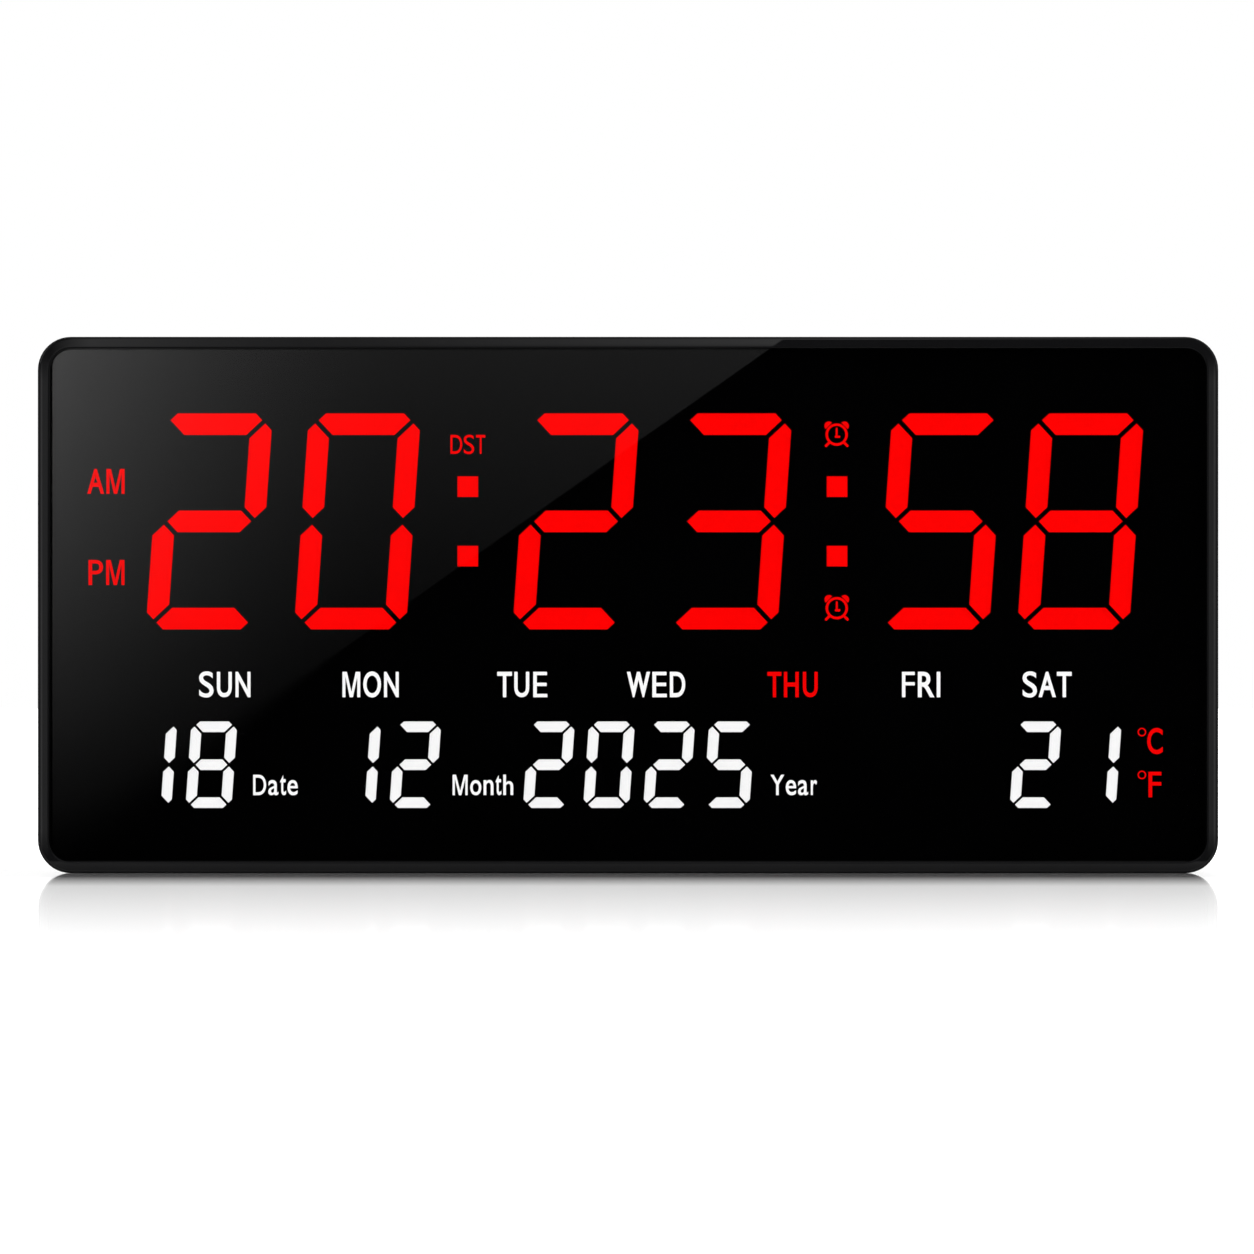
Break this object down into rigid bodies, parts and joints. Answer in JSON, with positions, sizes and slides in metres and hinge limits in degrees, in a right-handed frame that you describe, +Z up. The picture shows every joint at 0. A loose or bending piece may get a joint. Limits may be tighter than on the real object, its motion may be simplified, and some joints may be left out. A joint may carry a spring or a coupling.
{
  "type": "digital wall clock",
  "caption": "Wide digital wall clock with large red time digits and small white date and temperature digits behind a glossy dark panel, rear buttons and keyholes.",
  "frame": {"origin": "middle of the flat back, in the plane of the wall", "axes": "+Z up, front facing -Y, +X to the right of someone reading the clock"},
  "size_m": [0.416, 0.03, 0.189],
  "materials": {
    "charcoal_abs": "satin moulded",
    "black_abs": "fine moulded texture",
    "smoked_acrylic": "polished",
    "black_film": "matt print",
    "foam_tape": "matt",
    "red_light": "lit",
    "white_light": "lit",
    "unlit_diffuser": "smoked",
    "white_abs": "satin",
    "led_resin": "clear resin",
    "circuit_board": "solder mask",
    "plated_steel": "zinc plated",
    "chip_epoxy": "moulded",
    "fired_ceramic": "fired",
    "sleeved_can": "printed sleeve",
    "button_abs": "satin"
  },
  "bodies": {
    "case": {"front_frame": "charcoal_abs", "rear_cover": "black_abs", "front_lens": "smoked_acrylic", "lens_tape": "foam_tape", "display_mask": "black_film", "hour_tens_digit": "red_light", "hour_units_digit": "red_light", "minute_tens_digit": "red_light", "minute_units_digit": "red_light", "second_tens_digit": "red_light", "second_units_digit": "red_light", "unlit_time_segments": "unlit_diffuser", "time_colons": "red_light", "date_digits": "white_light", "month_digits": "white_light", "year_digits": "white_light", "temperature_digits": "white_light", "unlit_calendar_segments": "unlit_diffuser", "red_legend_diffusers": "red_light", "white_legend_diffusers": "white_light", "time_reflector": "white_abs", "weekday_reflector": "white_abs", "calendar_reflector": "white_abs", "temperature_reflector": "white_abs", "red_leds": "led_resin", "white_leds": "led_resin", "main_board": "circuit_board", "board_screws": "plated_steel", "cover_screws": "plated_steel", "microcontroller": "chip_epoxy", "clock_chip": "chip_epoxy", "crystal": "plated_steel", "driver_chips": "chip_epoxy", "transistors": "chip_epoxy", "resistors": "fired_ceramic", "ceramic_capacitors": "fired_ceramic", "electrolytic_capacitors": "sleeved_can", "buzzer": "black_abs", "remote_receiver": "chip_epoxy", "temperature_sensor": "chip_epoxy", "power_jack": "black_abs", "power_jack_pin": "plated_steel", "switch_bodies": "black_abs", "coin_cell": "plated_steel", "positive_contact": "plated_steel", "negative_contact": "plated_steel"},
    "set_key": {"set_button": "button_abs", "set_plunger": "white_abs"},
    "up_key": {"up_button": "button_abs", "up_plunger": "white_abs"},
    "down_key": {"down_button": "button_abs", "down_plunger": "white_abs"},
    "alarm_key": {"alarm_button": "button_abs", "alarm_plunger": "white_abs"},
    "door": {"cell_door": "black_abs"}
  },
  "joints": [
    {"name": "set_press", "type": "slide", "parent": "case", "child": "set_key", "axis": [0, -1, 0], "range_m": [0, 0.0006], "stiffness_N_per_m": 400, "springref_m": -0.002},
    {"name": "up_press", "type": "slide", "parent": "case", "child": "up_key", "axis": [0, -1, 0], "range_m": [0, 0.0006], "stiffness_N_per_m": 400, "springref_m": -0.002},
    {"name": "down_press", "type": "slide", "parent": "case", "child": "down_key", "axis": [0, -1, 0], "range_m": [0, 0.0006], "stiffness_N_per_m": 400, "springref_m": -0.002},
    {"name": "alarm_press", "type": "slide", "parent": "case", "child": "alarm_key", "axis": [0, -1, 0], "range_m": [0, 0.0006], "stiffness_N_per_m": 400, "springref_m": -0.002},
    {"name": "door_hinge", "type": "hinge", "parent": "case", "child": "door", "pos_m": [-0.064, -0.0014, 0.0078], "axis": [1, 0, 0], "range_deg": [0, 95]}
  ]
}
